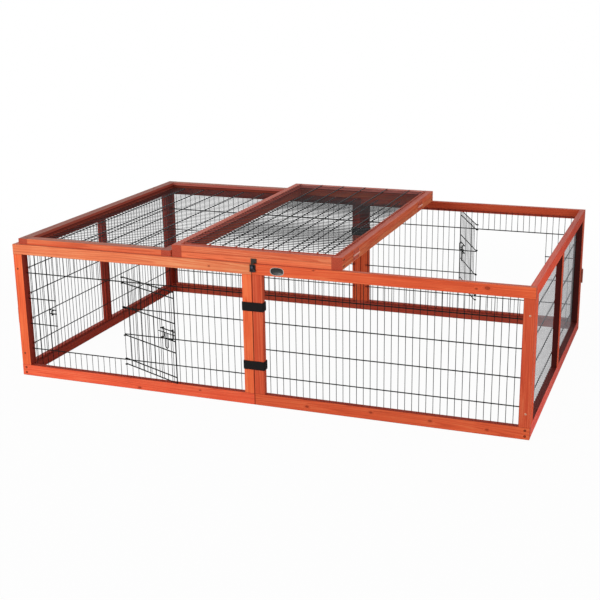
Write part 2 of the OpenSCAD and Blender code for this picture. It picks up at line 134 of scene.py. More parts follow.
class NodeTree:
    """Emptied node tree, with short calls for the nodes used here."""

    def __init__(self, tree):
        self.nodes = tree.nodes
        self.links = tree.links
        self.nodes.clear()

    def node(self, kind, inputs=None, **settings):
        """New node, each of its inputs linked to a field or set to a constant."""
        node = self.nodes.new(kind)
        for key, setting in settings.items():
            setattr(node, key, setting)
        for key, value in (inputs or {}).items():
            if isinstance(value, Field):
                self.links.new(value.socket, node.inputs[key])
            else:
                node.inputs[key].default_value = value
        return node

    def field(self, kind, inputs=None, out=0, **settings):
        """One output of a new node."""
        return Field(self, self.node(kind, inputs, **settings).outputs[out])

    def math(self, op, a, b=0.0):
        return self.field("ShaderNodeMath", {0: a, 1: b}, operation=op)

    def vector(self, op, a, b=(0, 0, 0), out="Vector"):
        return self.field("ShaderNodeVectorMath", {0: a, 1: b}, out, operation=op)

    def dot(self, a, b):
        return self.vector("DOT_PRODUCT", a, b, "Value")

    def length(self, a):
        return self.vector("LENGTH", a, out="Value")

    def step(self, value, low, high, start=0.0, end=1.0):
        """Smooth step from start at low to end at high."""
        inputs = {"Value": value, "From Min": low, "From Max": high, "To Min": start, "To Max": end}
        return self.field("ShaderNodeMapRange", inputs, "Result", interpolation_type="SMOOTHSTEP")

    def noise(self, vector, scale, detail, rough):
        inputs = {"Vector": vector, "Scale": scale, "Detail": detail, "Roughness": rough}
        return self.field("ShaderNodeTexNoise", inputs, "Fac")

    def mix(self, factor, a, b, blend="MIX"):
        inputs = {"Factor": factor, 6: a, 7: b}
        return self.field("ShaderNodeMix", inputs, 2, data_type="RGBA", blend_type=blend)

    def scaled(self, colour, factor):
        """Colour times a grey factor."""
        grey = self.field("ShaderNodeCombineColor", {i: factor for i in range(3)})
        return self.mix(1.0, colour, grey, "MULTIPLY")

    def bevel(self, radius):
        return self.field("ShaderNodeBevel", {"Radius": radius}, samples=4)

    def bump(self, height, distance, strength, normal=None):
        inputs = {"Strength": strength, "Distance": distance, "Height": height}
        if normal is not None:
            inputs["Normal"] = normal
        return self.field("ShaderNodeBump", inputs)


class Material(NodeTree):
    """Material whose place is in metres and whose look is the normal, both of the CAD frame."""

    def __init__(self, name):
        self.mat = bpy.data.materials.new(name)
        self.mat.use_nodes = True
        super().__init__(self.mat.node_tree)
        coords = self.node("ShaderNodeTexCoord")
        self.place = Field(self, coords.outputs["Object"])
        self.look = Field(self, coords.outputs["Normal"])

    def at(self, axis):
        """Coordinate along an axis."""
        return self.dot(self.place, axis)

    def faces(self, axis):
        """Cosine between the surface and an axis."""
        return self.dot(self.look, axis)

    def off_axis(self, point):
        """Distance from the line along Y through a point."""
        away = self.vector("SUBTRACT", self.place, point)
        return self.length(self.vector("MULTIPLY", away, RIGHT + UP))

    def principled(self, colour, rough, specular=0.5, normal=None, metallic=0.0):
        """Surface of the material, which it returns."""
        inputs = {"Base Color": colour, "Roughness": rough, "Specular IOR Level": specular,
                  "Metallic": metallic}
        if normal is not None:
            inputs["Normal"] = normal
        surface = self.field("ShaderNodeBsdfPrincipled", inputs, "BSDF")
        self.node("ShaderNodeOutputMaterial", {"Surface": surface})
        return self.mat


# ---- timber

# Middle, light and deep stain of the grain
TONES = ((236, 97, 56), (246, 124, 76), (172, 56, 32))
PLAIN = (1.0, 1.0, 1.0)
# Painted sheen of the upper faces, standing in for the white surroundings that they reflect
TOP_PAINTED_SHEEN = (140, 94, 86)
# Darker stain and painted shade of the inner faces
INNER_STAIN_AND_SHADE = (146, 42, 28)
END_GRAIN = (202, 86, 60)
END_RING = (134, 44, 30)
KNOT_CORE = (140, 44, 22)
KNOT_RING = (112, 36, 16)
KNOT_EYE = (96, 36, 18)
# Painted shade in the gaps between panels and between lids
GAP_SHADE = (104, 20, 12)
# Painted shade along a lid's inner faces
REBATE_SHADE_COLOUR = (70, 10, 6)

# Scale of each pattern across and along the grain
GROWTH_SCALE = (46, 1.15)
FIBRE_SCALE = (620, 9)
PORE_SCALE = (1500, 45)
RINGS_PER_M = 420.0

# Squeeze of places along the grain, which draws the knots out
KNOT_SQUEEZE = 0.62

# Distances over which the painted shade lines and the painted light and shade run out
JOINT_LINE = (0.9 * MM, 2.2 * MM)
SEAM_LINE = (0.8 * MM, 2.4 * MM)
REBATE_SHADE_EDGE = 0.3 * MM
LIT_BESIDE = (0.06, 0.4)
LIT_TOP = (0.3, 0.34)
BACK_SHADE_DEPTH = (0.1, 1.16)

Knots = namedtuple("Knots", "halo core eye ring")
Grain = namedtuple("Grain", "wander late fibres pores blotch broad")


def knot_masks(s, along, across, knots):
    """Masks round (place, radius) knots: pushed grain, heart, its eye and the dark ring."""
    squeeze = across + along * KNOT_SQUEEZE
    near = None
    for place, radius in knots:
        squeezed = s.vector("MULTIPLY", s.place, squeeze)
        gap = s.vector("DISTANCE", squeezed, Vector(place) * squeeze, "Value") / radius
        near = gap if near is None else s.math("MINIMUM", near, gap)
    halo = 1.0 - s.step(near, 0.8, 3.2)
    core = 1.0 - s.step(near, 0.75, 1.05)
    eye = 1.0 - s.step(near, 0.0, 0.45)
    ring = s.step(near, 0.8, 1.0) * (1.0 - s.step(near, 1.0, 1.5))
    return Knots(halo, core, eye, ring)


def grain_fields(s, along, across, shift, halo):
    """Late wood of the growth lines, which wander slowly, with fibres, pores and blotches."""

    def stretched(scale, move):
        return s.vector("ADD", s.vector("MULTIPLY", s.place, across * scale[0] + along * scale[1]), move)

    growth = stretched(GROWTH_SCALE, shift)
    wander = s.noise(growth, 0.55, 2.0, 0.5)
    bend = wander * 16.0 + halo * 2.6
    saw = s.math("FRACT", s.dot(growth, across.normalized() * 2.1) + bend)
    late = s.step(saw, 0.25, 0.93) * (1.0 - s.step(saw, 0.93, 1.0))
    fibres = s.noise(stretched(FIBRE_SCALE, shift * 3), 1.0, 3.0, 0.6)
    pores = s.step(s.noise(stretched(PORE_SCALE, shift), 1.0, 1.0, 0.5), 0.62, 0.72)
    blotch = s.noise(s.vector("ADD", s.place, shift), 7.0, 3.0, 0.5)
    broad = s.noise(s.vector("ADD", s.place, shift * 2), 1.7, 1.0, 0.5)
    return Grain(wander, late, fibres, pores, blotch, broad)


def stained_grain(s, tones, grain, knot):
    """Colour of the outer stain over grain and knots."""
    middle, light, deep = (linear(tone) for tone in tones)
    shade = grain.late * 0.55 + (grain.fibres - 0.5) * 0.9
    shade = shade + (grain.blotch - 0.5) * 0.7 + grain.pores * 0.18
    colour = s.mix(s.step(shade, -0.25, 0.2), light, middle)
    colour = s.mix(s.step(shade, 0.2, 1.0) * 0.62, colour, deep)
    colour = s.scaled(colour, 0.9 + grain.broad * 0.2)
    colour = s.mix(knot.halo * 0.28, colour, deep)
    colour = s.mix(knot.core * 0.5, colour, linear(KNOT_CORE))
    colour = s.mix(knot.ring * 0.8, colour, linear(KNOT_RING))
    return s.mix(knot.eye * 0.8, colour, linear(KNOT_EYE))


def hidden_faces(s, bright):
    """1 on the faces that look in none of the bright directions."""
    outer = None
    for direction, gate in bright:
        look = s.math("MAXIMUM", s.faces(direction), 0.0)
        if gate is not None:
            side, plane = gate
            look = look * (s.at(side) > plane)
        outer = look if outer is None else outer + look
    return 1.0 - s.step(outer, *FACE_EDGE)


def line_at(s, height, line_height):
    """1 on a thin level line."""
    return 1.0 - s.step(abs(height - line_height), *SEAM_LINE)


def timber_material(name, axis, tones, seed, knots, bright, stain, inner, lit_share=None, fade_low=False,
                    joint=False, top=PLAIN, seams=(), dim=1.0, rebate_shade=None):
    """Stained softwood with its grain along an axis.

    knots are (place, radius) pairs in metres. bright lists the directions that keep the outer
    stain, each with None or a (side, plane) beyond which it counts. Every other face takes stain,
    a darker stain with painted shade in it, by the share inner, or near the middle of the run by
    the share lit_share, where the faces are painted lit, only low down with fade_low. joint
    draws a painted shade line in the gap where two panels meet. top is the level of painted light
    and shade on the upper face, seams the heights of the painted shade lines between lids on the
    front, and dim the level of painted shade at the back of the run. rebate_shade is the
    height of a painted shade line along the inner faces of a lid, and the stain and share above
    it, which paint that face lighter.
    """
    rng = random.Random(seed)
    s = Material(name)
    along = AXES[axis]
    across = Vector((1, 1, 1)) - along
    shift = Vector([rng.uniform(-9, 9) for _ in range(3)])
    knot = knot_masks(s, along, across, knots)
    grain = grain_fields(s, along, across, shift, knot.halo)
    colour = stained_grain(s, tones, grain, knot)

    # Dark stain and painted shade on every face that doesn't look outwards
    hidden = hidden_faces(s, bright)
    tone = 0.72 + grain.fibres * 0.5 + grain.late * -0.12
    dark = s.scaled(linear(stain), tone)
    beside = abs(s.at(RIGHT))
    height = s.at(UP)
    share = inner
    # Near the middle of the run the inner faces are painted lit, on back walls only low down
    if lit_share is not None:
        beyond = s.step(beside, *LIT_BESIDE)
        if fade_low:
            beyond = s.math("MAXIMUM", beyond, s.step(height, *LIT_TOP))
        share = lit_share + beyond * (inner - lit_share)
    # Painted shade line along a lid's inner faces, with the face above it painted lighter
    if rebate_shade is not None:
        line_height, upper_stain, upper_share = rebate_shade
        above = s.step(height, line_height - REBATE_SHADE_EDGE, line_height + REBATE_SHADE_EDGE)
        dark = s.mix(above, dark, s.scaled(linear(upper_stain), tone))
        share = inner + above * (upper_share - inner)
    colour = s.mix(hidden * share, colour, dark)
    if rebate_shade is not None:
        colour = s.mix(line_at(s, height, line_height) * hidden * 0.85, colour, linear(REBATE_SHADE_COLOUR))

    # Painted sheen and painted light and shade of the upper face, painted shade lines between pieces
    # and painted shade at the back
    upward = s.step(s.faces(UP), *FACE_EDGE) * (1.0 - hidden)
    # Painted sheen on the upper face, then its level of painted light and shade
    colour = s.mix(upward * 0.35, colour, linear(TOP_PAINTED_SHEEN))
    colour = s.mix(upward, colour, (*top, 1.0), "MULTIPLY")
    # Painted shade lines in the gaps between lids
    for seam in seams:
        ends = s.step(abs(s.faces(BACK)), *FACE_EDGE)
        colour = s.mix(line_at(s, height, seam) * ends * 0.8, colour, linear(GAP_SHADE))
    # Painted shade, darker towards the back of the run
    if dim < 1.0:
        far = s.step(s.at(BACK), *BACK_SHADE_DEPTH)
        colour = s.scaled(colour, 1.0 + far * (dim - 1.0))
    # Painted shade line in the gap where two panels meet
    if joint:
        colour = s.mix((1.0 - s.step(beside, *JOINT_LINE)) * 0.85, colour, linear(GAP_SHADE))

    # End grain: growth rings cut square
    pith = Vector((rng.uniform(-0.03, 0.03),) * 3) + Vector((0.013, 0.017, -0.011))
    spread = s.length(s.vector("MULTIPLY", s.vector("ADD", s.place, pith), across))
    rings = s.math("FRACT", spread * RINGS_PER_M + grain.wander)
    end = s.mix(s.step(rings, 0.55, 0.95), linear(END_GRAIN), linear(END_RING))
    colour = s.mix(s.step(abs(s.faces(along)), *FACE_EDGE), colour, end)

    rough = 0.46 + grain.fibres * 0.22 + grain.late * 0.06
    relief = grain.fibres * 0.6 + grain.late * 0.35 - grain.pores * 0.5 - knot.ring * 0.8
    return s.principled(colour, rough, 0.14 + upward * 0.3, s.bump(relief, 0.35 * MM, 0.55))


def grain_axis(node):
    """Axis that a node's timber runs along."""
    if "stiles" in node:
        return "z"
    if node.endswith("side_rails") or node.startswith(("left_end", "right_end")):
        return "y"
    return "x"


# Knots that show on the front, as (place along the front, height, radius)
FRONT_KNOTS = {
    "front_left_bottom_rail": [(-0.43, 0.008, 0.003), (-0.2, 0.026, 0.002)],
    "front_right_bottom_rail": [(0.183, 0.017, 0.0028), (0.399, 0.025, 0.0026), (0.592, 0.022, 0.0028),
                                (0.771, 0.017, 0.0024)],
    "front_right_top_rail": [(0.757, 0.467, 0.0038), (0.724, 0.462, 0.002), (0.21, 0.476, 0.0018)],
    "front_left_top_rail": [(-0.15, 0.462, 0.0018)],
}
KNOT_RADII = (2 * MM, 4 * MM)


def knots_for(node, rng):
    """Knots of a node: those that the front shows, or a few of its own."""
    if node in FRONT_KNOTS:
        return [(Vector((x, FRONT_Y, z)), r) for x, z, r in FRONT_KNOTS[node]]
    low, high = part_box(node)
    found = []
    for _ in range(rng.randint(1, 3)):
        place = Vector(rng.uniform(a, b) for a, b in zip(low, high))
        found.append((place, rng.uniform(*KNOT_RADII)))
    return found


# Stain and painted light and shade of single parts against the common tones, as the photograph
# shows them
STAIN_AND_SHADE_LEVEL = {
    "front_left_top_rail": (1.02, 1.32, 1.48), "front_left_bottom_rail": (1.04, 1.02, 1.15),
    "front_right_bottom_rail": (0.93, 0.95, 0.97), "front_left_stiles": (1.06, 1.11, 1.1),
    "front_right_stiles": (0.92, 0.88, 0.95), "right_end_stiles": (1.02, 0.86, 0.76),
    "right_end_top_rail": (1.0, 0.74, 0.62), "right_end_bottom_rail": (1.04, 0.98, 1.4),
    "left_lid_side_rails": (0.86, 0.94, 0.98), "left_lid_cross_rails": (0.98, 1.1, 1.2),
    "middle_lid_side_rails": (0.92, 1.1, 1.15), "middle_lid_cross_rails": (1.03, 1.25, 1.4),
    "right_lid_side_rails": (0.93, 0.98, 1.0), "right_lid_cross_rails": (0.98, 1.15, 1.3),
}

# Share of the inner stain and painted shade on the inner faces of each part, and near the middle
# of the run, where they are painted lit
INNER_SHARE = {"top_rail": (0.4, None), "bottom_rail": (0.85, None), "stiles": (0.95, 0.12),
               "side_rails": (0.65, None), "cross_rails": (0.7, None)}

# Stain and painted shade on the inner faces of single nodes, with its share, as the photograph
# shows them
INNER_LOOK = {
    "right_end_stiles": ((84, 22, 18), 1.0), "back_right_stiles": ((92, 26, 20), 0.95),
    "back_left_bottom_rail": ((184, 74, 54), 0.85), "back_right_bottom_rail": ((178, 68, 52), 0.85),
    "left_end_bottom_rail": ((168, 54, 42), 0.85), "right_end_bottom_rail": ((84, 22, 18), 0.95),
    "back_left_top_rail": ((124, 30, 20), 0.85), "left_end_top_rail": ((116, 28, 20), 0.85),
    "left_lid_cross_rails": ((104, 30, 22), 0.85), "left_lid_side_rails": ((110, 30, 22), 0.85),
    "middle_lid_cross_rails": ((120, 40, 34), 0.7), "middle_lid_side_rails": ((158, 48, 38), 0.7),
    "right_lid_cross_rails": ((150, 50, 42), 0.75), "right_lid_side_rails": ((140, 40, 32), 0.75),
}

# Level of painted light and shade on the upper face of single nodes
TOP_LIGHT_LEVEL = {
    "left_lid_cross_rails": (0.74, 0.88, 0.98), "left_lid_side_rails": (0.66, 0.68, 0.76),
    "right_lid_cross_rails": (0.88, 0.6, 0.62), "right_lid_side_rails": (1.08, 0.96, 1.1),
    "right_end_top_rail": (1.25, 1.3, 1.4),
}

# Painted shade line along the inner faces of a lid's rails, with the face above it painted
# lighter: its rise above the lid's lower side at rest, and the stain and share above it
REBATE_SHADE = {
    "left_lid_cross_rails": (8.5 * MM, (145, 82, 98), 0.5),
    "left_lid_side_rails": (8.5 * MM, (155, 61, 60), 0.65),
    "right_lid_cross_rails": (8.9 * MM, (232, 128, 122), 0.8),
    "right_lid_side_rails": (8.9 * MM, (222, 108, 98), 0.75),
}

# Level of painted shade on the timber at the back of a wall
BACK_SHADE_LEVEL = {"right_end": 0.6}

# Painted shade lines on a lid's front in the gaps where it lies on the wall and where the folded
# lid lies on it
WALL_SEAM = WALL_TOP + 0.2 * MM
LID_SEAMS = {"left_lid": [WALL_SEAM], "middle_lid": [WALL_SEAM, LID_TOP], "right_lid": [LID_TOP]}

# Spread of the tones from node to node, and how much of it turns them redder or yellower
TONE_SPREAD = 0.015
WARM_SHARE = 0.6


def node_tones(node, rng):
    """Tones at the level of a node, which holds its stain and painted light and shade, moved a little
    lighter or darker, and redder or yellower.
    """
    value = 1 + rng.uniform(-TONE_SPREAD, TONE_SPREAD)
    warm = rng.uniform(-TONE_SPREAD, TONE_SPREAD) * WARM_SHARE
    level = STAIN_AND_SHADE_LEVEL.get(node, PLAIN)
    factors = [value * part * (1 + k * warm) for part, k in zip(level, (0, 1, -0.5))]
    return [tuple(min(255, c * f) for c, f in zip(tone, factors)) for tone in TONES]


def wall_bright(wall):
    """Directions in which a wall's timber keeps the outer stain: outwards, up and at the run's ends."""
    inside = 2 * MM
    looks = [(-INWARD[wall][0], None), (UP, (UP, WALL_TOP - inside))]
    for side in (-RIGHT, RIGHT):
        looks.append((side, (side, RIGHT_X - inside)))
    return looks


def lid_bright(node):
    """Directions in which a lid's timber keeps the outer stain: all but towards its opening."""
    low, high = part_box(node)
    looks = [(UP, None), (-UP, None)]
    for axis in (RIGHT, BACK):
        middle = axis.dot(low + high) / 2
        looks.append((axis, (axis, middle)))
        looks.append((-axis, (-axis, -middle)))
    return looks


def timber_for(node, part, rng, **looks):
    """Timber of one node, with the looks that its place gives it."""
    inner, lit_share = INNER_SHARE[part]
    # Inner faces take a darker stain and painted shade
    stain, inner = INNER_LOOK.get(node, (INNER_STAIN_AND_SHADE, inner))
    rebate_shade = None
    # Painted shade line along the lid's inner faces, above its lower side
    if node in REBATE_SHADE:
        rise, upper_stain, upper_share = REBATE_SHADE[node]
        rebate_shade = (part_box(node)[0].z + rise, upper_stain, upper_share)
    tones = node_tones(node, rng)
    return timber_material(f"timber_{node}", grain_axis(node), tones, rng.randint(0, 9999),
                           knots_for(node, rng), stain=stain, inner=inner, lit_share=lit_share,
                           top=TOP_LIGHT_LEVEL.get(node, PLAIN), rebate_shade=rebate_shade, **looks)


# ---- other materials

WIRE_DARK = (6, 9, 8)
WIRE_PALE = (18, 23, 21)
# Painted pale highlight on the wires
WIRE_GLINT = (168, 170, 174)
LID_WIRE_STAIN = (190, 92, 70)
WALL_WIRE_STAIN = (140, 50, 40)

# Share of the timber's stain on the wires that lie on it
STAIN_SHARE = 0.9

# Painted highlight on the front of upright wires: its share, and where it runs out towards the back
FRONT_GLINT = 0.95
GLINT_END = (1.04, 1.09)

# Share of the painted highlight on the upper side of a lid's close and far wires
CLOSE_GLINT = 0.66
FAR_GLINT = 0.16

# Distances from the axis over which the painted highlights on a hinge's knuckle and on the
# latch's pivot head end
KNUCKLE_GLINT_EDGE = (2.2 * MM, 2.7 * MM)
HEAD_GLINT_EDGE = (2.6 * MM, 4.6 * MM)


def front_glint(s):
    """Share of painted highlight on the front of upright wires."""
    upright = abs(s.faces(UP)) < 0.1
    ahead = upright * s.step(s.faces(-BACK), 0.1, 0.6)
    return ahead * (1.0 - s.step(s.at(BACK), *GLINT_END)) * FRONT_GLINT


def top_glint(low, high):
    """Share of painted highlight on the upper side of a lid's wires, whose close ones lie between two
    heights.
    """

    def share(s):
        close = abs(s.at(UP) - (low + high) / 2) < (high - low) / 2
        return s.step(s.faces(UP), 0.3, 0.9) * (FAR_GLINT + close * (CLOSE_GLINT - FAR_GLINT))

    return share


def inside_bays(s, bays):
    """1 at the places inside one of the boxes."""
    inside = 0.0
    for low, high in bays:
        within = 1.0
        for axis in AXES.values():
            off = abs(s.at(axis) - axis.dot(low + high) / 2)
            within = within * (off < axis.dot(high - low) / 2)
        inside = s.math("MAXIMUM", inside, within)
    return inside


def wire_material(name, bays=(), stain=None, glint=None):
    """Black-green coated wire, its six-sided section rounded by the shader.

    Outside the bays, given by their low and high corners, the wires lie on timber and have taken
    its stain. glint works out the share of a painted pale highlight.
    """
    s = Material(name)
    mottle = s.noise(s.place, 90.0, 3.0, 0.6)
    fine = s.noise(s.place, 700.0, 2.0, 0.5)
    colour = s.mix(mottle, linear(WIRE_DARK), linear(WIRE_PALE))
    # Painted pale highlight
    if glint:
        colour = s.mix(glint(s), colour, linear(WIRE_GLINT))
    if bays:
        colour = s.mix((1.0 - inside_bays(s, bays)) * STAIN_SHARE, colour, linear(stain))
    normal = s.bump(fine, 0.12 * MM, 0.4, s.bevel(0.9 * MM))
    return s.principled(colour, 0.42 + mottle * 0.22, 0.12, normal)


def painted_steel(name, rgb, worn_rgb, rough, wear, edge_rgb=None, specular=0.5, knuckle_glint=None):
    """Painted steel with patches of wear, rubbed edges and a faint orange peel.

    knuckle_glint is a point on the axis of the hinges, which runs along Y, and the colour of the
    painted highlight along each knuckle.
    """
    s = Material(name)
    mottle = s.noise(s.place, 160.0, 4.0, 0.65)
    peel = s.noise(s.place, 1400.0, 1.0, 0.4)
    colour = s.mix(s.step(mottle, 0.58, 0.7) * wear, linear(rgb), linear(worn_rgb))
    if edge_rgb:
        flat = s.dot(s.bevel(0.9 * MM), s.look)
        colour = s.mix((1.0 - s.step(flat, 0.7, 0.97)) * 0.8, colour, linear(edge_rgb))
    # Painted highlight along the hinge knuckle
    if knuckle_glint:
        point, knuckle_glint_rgb = knuckle_glint
        near = 1.0 - s.step(s.off_axis(point), *KNUCKLE_GLINT_EDGE)
        colour = s.mix(near * 0.85, colour, linear(knuckle_glint_rgb))
    normal = s.bump(peel, 0.06 * MM, 0.35, s.bevel(0.35 * MM))
    return s.principled(colour, rough + mottle * 0.15, specular, normal)


def latch_material(pivot):
    """Black latch steel with a painted highlight: a paler head on the pivot of the hook."""
    s = Material("latch_base_steel")
    mottle = s.noise(s.place, 220.0, 4.0, 0.65)
    peel = s.noise(s.place, 1400.0, 1.0, 0.4)
    # Painted highlight: a paler disc round the pivot
    head = 1.0 - s.step(s.off_axis(pivot), *HEAD_GLINT_EDGE)
    black = s.mix(mottle, linear((16, 14, 18)), linear((30, 27, 32)))
    colour = s.mix(head * 0.7, black, linear((84, 88, 108)))
    return s.principled(colour, 0.3 + mottle * 0.15, 0.3, s.bump(peel, 0.06 * MM, 0.35))


def webbing_material():
    """Black woven webbing: a herringbone of warp ribs with fuzz."""
    s = Material("woven_webbing")
    rib_pitch = 1.6 * MM
    weft_pitch = 1.1 * MM
    ribs = s.math("SINE", s.at(UP) * (2 * PI / rib_pitch))
    weft = s.math("SINE", (s.at(RIGHT) + s.at(BACK)) * (2 * PI / weft_pitch) + ribs * 1.4)
    fuzz = s.noise(s.place, 2400.0, 2.0, 0.6)
    height = ribs * 0.5 + weft * 0.3 + fuzz
    colour = s.mix(s.step(height, -0.6, 1.4), linear((14, 14, 15)), linear((40, 38, 38)))
    return s.principled(colour, 0.9, 0.12, s.bump(height, 0.25 * MM, 0.8))


def metal(name, rgb, rough):
    """Bare or plated steel with fine mottling."""
    s = Material(name)
    mottle = s.noise(s.place, 900.0, 3.0, 0.6)
    colour = s.mix(mottle, linear(rgb), linear([c * 0.72 for c in rgb]))
    return s.principled(colour, rough + mottle * 0.2, metallic=0.85)


# ---- mesh helpers

def assign(obj, mat):
    """Puts one material in every slot of an object."""
    if not obj.material_slots:
        obj.data.materials.append(mat)
    for slot in obj.material_slots:
        slot.material = mat


def add_object(name, data):
    obj = bpy.data.objects.new(name, data)
    bpy.context.scene.collection.objects.link(obj)
    return obj


def add_mesh_object(name, bm, mats):
    mesh = bpy.data.meshes.new(name)
    bm.to_mesh(mesh)
    bm.free()
    for mat in mats:
        mesh.materials.append(mat)
    return add_object(name, mesh)


def make_object(name, bm, mats, body, smooth=False):
    """Visible piece from a mesh, which rides a body and has a material slot."""
    obj = add_mesh_object(name, bm, mats)
    for face in obj.data.polygons:
        face.use_smooth = smooth
    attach(obj, body)
    return obj


def skin(bm, rings, closed=False):
    """Quads between each ring of vertices and the next one, and from the last to the first if closed."""
    pairs = zip(rings, rings[1:] + rings[:1]) if closed else zip(rings, rings[1:])
    faces = []
    for low, high in pairs:
        for i in range(len(low)):
            j = (i + 1) % len(low)
            faces.append(bm.faces.new((low[i], low[j], high[j], high[i])))
    return faces


def loose_boxes(obj):
    """Boxes of the separate solids of a node."""
    mesh = obj.data
    bm = bmesh.new()
    bm.from_mesh(mesh)
    bmesh.ops.remove_doubles(bm, verts=bm.verts, dist=1e-6)
    left = set(bm.verts)
    boxes = []
    while left:
        stack = [left.pop()]
        group = []
        while stack:
            v = stack.pop()
            group.append(v.co.copy())
            for e in v.link_edges:
                w = e.other_vert(v)
                if w in left:
                    left.remove(w)
                    stack.append(w)
        low = Vector(min(c[k] for c in group) for k in range(3))
        high = Vector(max(c[k] for c in group) for k in range(3))
        boxes.append((low, high))
    bm.free()
    return sorted(boxes, key=lambda b: tuple(round(c, 4) for c in b[0]))


# ---- screws

SCREW_R = 3.2 * MM
SCREW_DOME = 0.7 * MM
RAIL_SCREW_R = 4.2 * MM
LEAF_SCREW_R = 2.2 * MM
LEAF_SCREW_DOME = 0.5 * MM

# Head: rings as (share of the radius, share of the dome). Cross recess: reach and half width of its
# arms by the radius, its rim and floor by the dome, and its taper
HEAD_SIDES = 20
HEAD_RINGS = ((1.0, 0.0), (0.97, 0.45), (0.8, 0.85), (0.62, 1.0))
CROSS_REACH = 0.42
CROSS_HALF = 0.13
CROSS_RIM = 1.02
CROSS_FLOOR = -0.3
CROSS_TAPER = 0.8

CORNER_INSET = 14 * MM
STILE_SCREWS = (83 * MM, 393 * MM)
RAIL_SCREWS = (11 * MM, 30 * MM)
LID_SCREW_SHARES = (0.32, 0.68)
LEAF_EDGE = 6 * MM
LID_LEAF_T = 1 * MM
LID_LEAF_SHARES = (0.16, 0.84)
CORNER_LEAF_T = 1.5 * MM
CORNER_LEAF_SHARES = (0.2, 0.8)
STRIKE_T = 1.5 * MM
STRIKE_EDGE = 4 * MM
STRIKE_HALF = 6.5 * MM

# Leaves of the lid hinges: node, body, side that the plates face along X, and if they point up
LID_LEAVES = (
    ("left_lid_hinge_leaves", "run_frame", 1, False),
    ("middle_lid_left_hinge_leaves", "middle_lid", -1, False),
    ("middle_lid_right_hinge_leaves", "middle_lid", 1, False),
    ("right_lid_hinge_leaves", "right_lid", 1, True),
)


def facing(centre, normal, spin):
    """Matrix that puts local +Z along a normal at a point."""
    turn = Vector(normal).to_track_quat("Z", "Y").to_matrix().to_4x4()
    return Matrix.Translation(centre) @ turn @ Matrix.Rotation(spin, 4, "Z")


def add_screw(bm, at, radius, dome):
    """Countersunk screw head with a cross recess, seated on the plane z = 0 of the matrix at."""
    rings = []
    for share, lift in HEAD_RINGS:
        r, z = radius * share, dome * lift
        turns = [2 * PI * i / HEAD_SIDES for i in range(HEAD_SIDES)]
        rings.append([bm.verts.new(at @ Vector((r * math.cos(a), r * math.sin(a), z))) for a in turns])
    skin(bm, rings)
    far, near = CROSS_REACH * radius, CROSS_HALF * radius
    arm = [(far, -near), (far, near), (near, near)]
    corners = []
    for _ in range(4):
        corners += arm
        arm = [(-y, x) for x, y in arm]
    rim = [bm.verts.new(at @ Vector((x, y, dome * CROSS_RIM))) for x, y in corners]
    floor = [bm.verts.new(at @ Vector((x * CROSS_TAPER, y * CROSS_TAPER, dome * CROSS_FLOOR)))
             for x, y in corners]
    edges = []
    for loop in (rings[-1], rim):
        for a, b in zip(loop, loop[1:] + loop[:1]):
            edges.append(bm.edges.get((a, b)) or bm.edges.new((a, b)))
    bmesh.ops.triangle_fill(bm, edges=edges, use_beauty=True)
    skin(bm, [rim, floor])
    bm.faces.new(floor)


def wall_screws(heights, corners):
    """Screws through the long walls into the end walls, at the given heights and corners."""
    places = []
    for y, normal in ((FRONT_Y, -BACK), (BACK_Y, BACK)):
        for corner in corners:
            x = LEFT_X + CORNER_INSET if corner == "left" else RIGHT_X - CORNER_INSET
            for z in heights:
                places.append((Vector((x, y, z)), normal))
    return places


def lid_screws(lid):
    """Screws through the outer edges of a lid's side rails into its cross rails."""
    low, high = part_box(f"{lid}_side_rails")
    z = (low.z + high.z) / 2
    places = []
    for x, normal in ((low.x, -RIGHT), (high.x, RIGHT)):
        for edge, way in ((low.y, 1), (high.y, -1)):
            for share in LID_SCREW_SHARES:
                places.append((Vector((x, edge + way * share * MEMBER_W, z)), normal))
    return places


def lid_leaf_screws(node, side, upward):
    """Two screws on each plate of a lid hinge. side is where the plate faces along X."""
    places = []
    for low, high in loose_boxes(nodes[node]):
        x = low.x + LID_LEAF_T if side > 0 else high.x - LID_LEAF_T
        z = high.z - LEAF_EDGE if upward else low.z + LEAF_EDGE
        for share in LID_LEAF_SHARES:
            places.append((Vector((x, low.y + share * (high.y - low.y), z)), side * RIGHT))
    return places


def corner_leaf_screws():
    """Two screws on each plate of the corner hinges."""
    places = []
    for low, high in loose_boxes(nodes["corner_hinge_leaves"]):
        side = 1 if low.x > 0 else -1
        x = low.x + CORNER_LEAF_T if side > 0 else high.x - CORNER_LEAF_T
        axis_y = BACK_Y - TIMBER_T if side > 0 else FRONT_Y + TIMBER_T
        y = low.y + LEAF_EDGE if low.y + high.y < 2 * axis_y else high.y - LEAF_EDGE
        for share in CORNER_LEAF_SHARES:
            places.append((Vector((x, y, low.z + share * (high.z - low.z))), side * RIGHT))
    return places


def strike_screws():
    """Two screws on the plate of the latch lip."""
    low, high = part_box("lid_latch_strike")
    middle = Vector(((low.x + high.x) / 2, high.y - STRIKE_T, high.z - STRIKE_EDGE))
    return [(middle + side * STRIKE_HALF * RIGHT, -BACK) for side in (-1, 1)]


def make_screws(name, places, body, mat, radius=SCREW_R, dome=SCREW_DOME):
    rng = random.Random(name)
    bm = bmesh.new()
    for centre, normal in places:
        add_screw(bm, facing(centre, normal, rng.uniform(0, PI)), radius, dome)
    make_object(name, bm, [mat], body)


def make_leaf_screws(node, places, body, mat):
    make_screws(f"{node}_screws", places, body, mat, LEAF_SCREW_R, LEAF_SCREW_DOME)


# ---- staples

STAPLE_CROWN = 9 * MM
STAPLE_WIRE = 1.1 * MM
STAPLE_SUNK = 0.2 * MM
STAPLE_EVERY = 6
STAPLE_BEND_STEPS = 3

# Half the section of a staple's wire, in the staple's plane and across it, by the wire's thickness
STAPLE_SECTION = (0.35, 0.6)

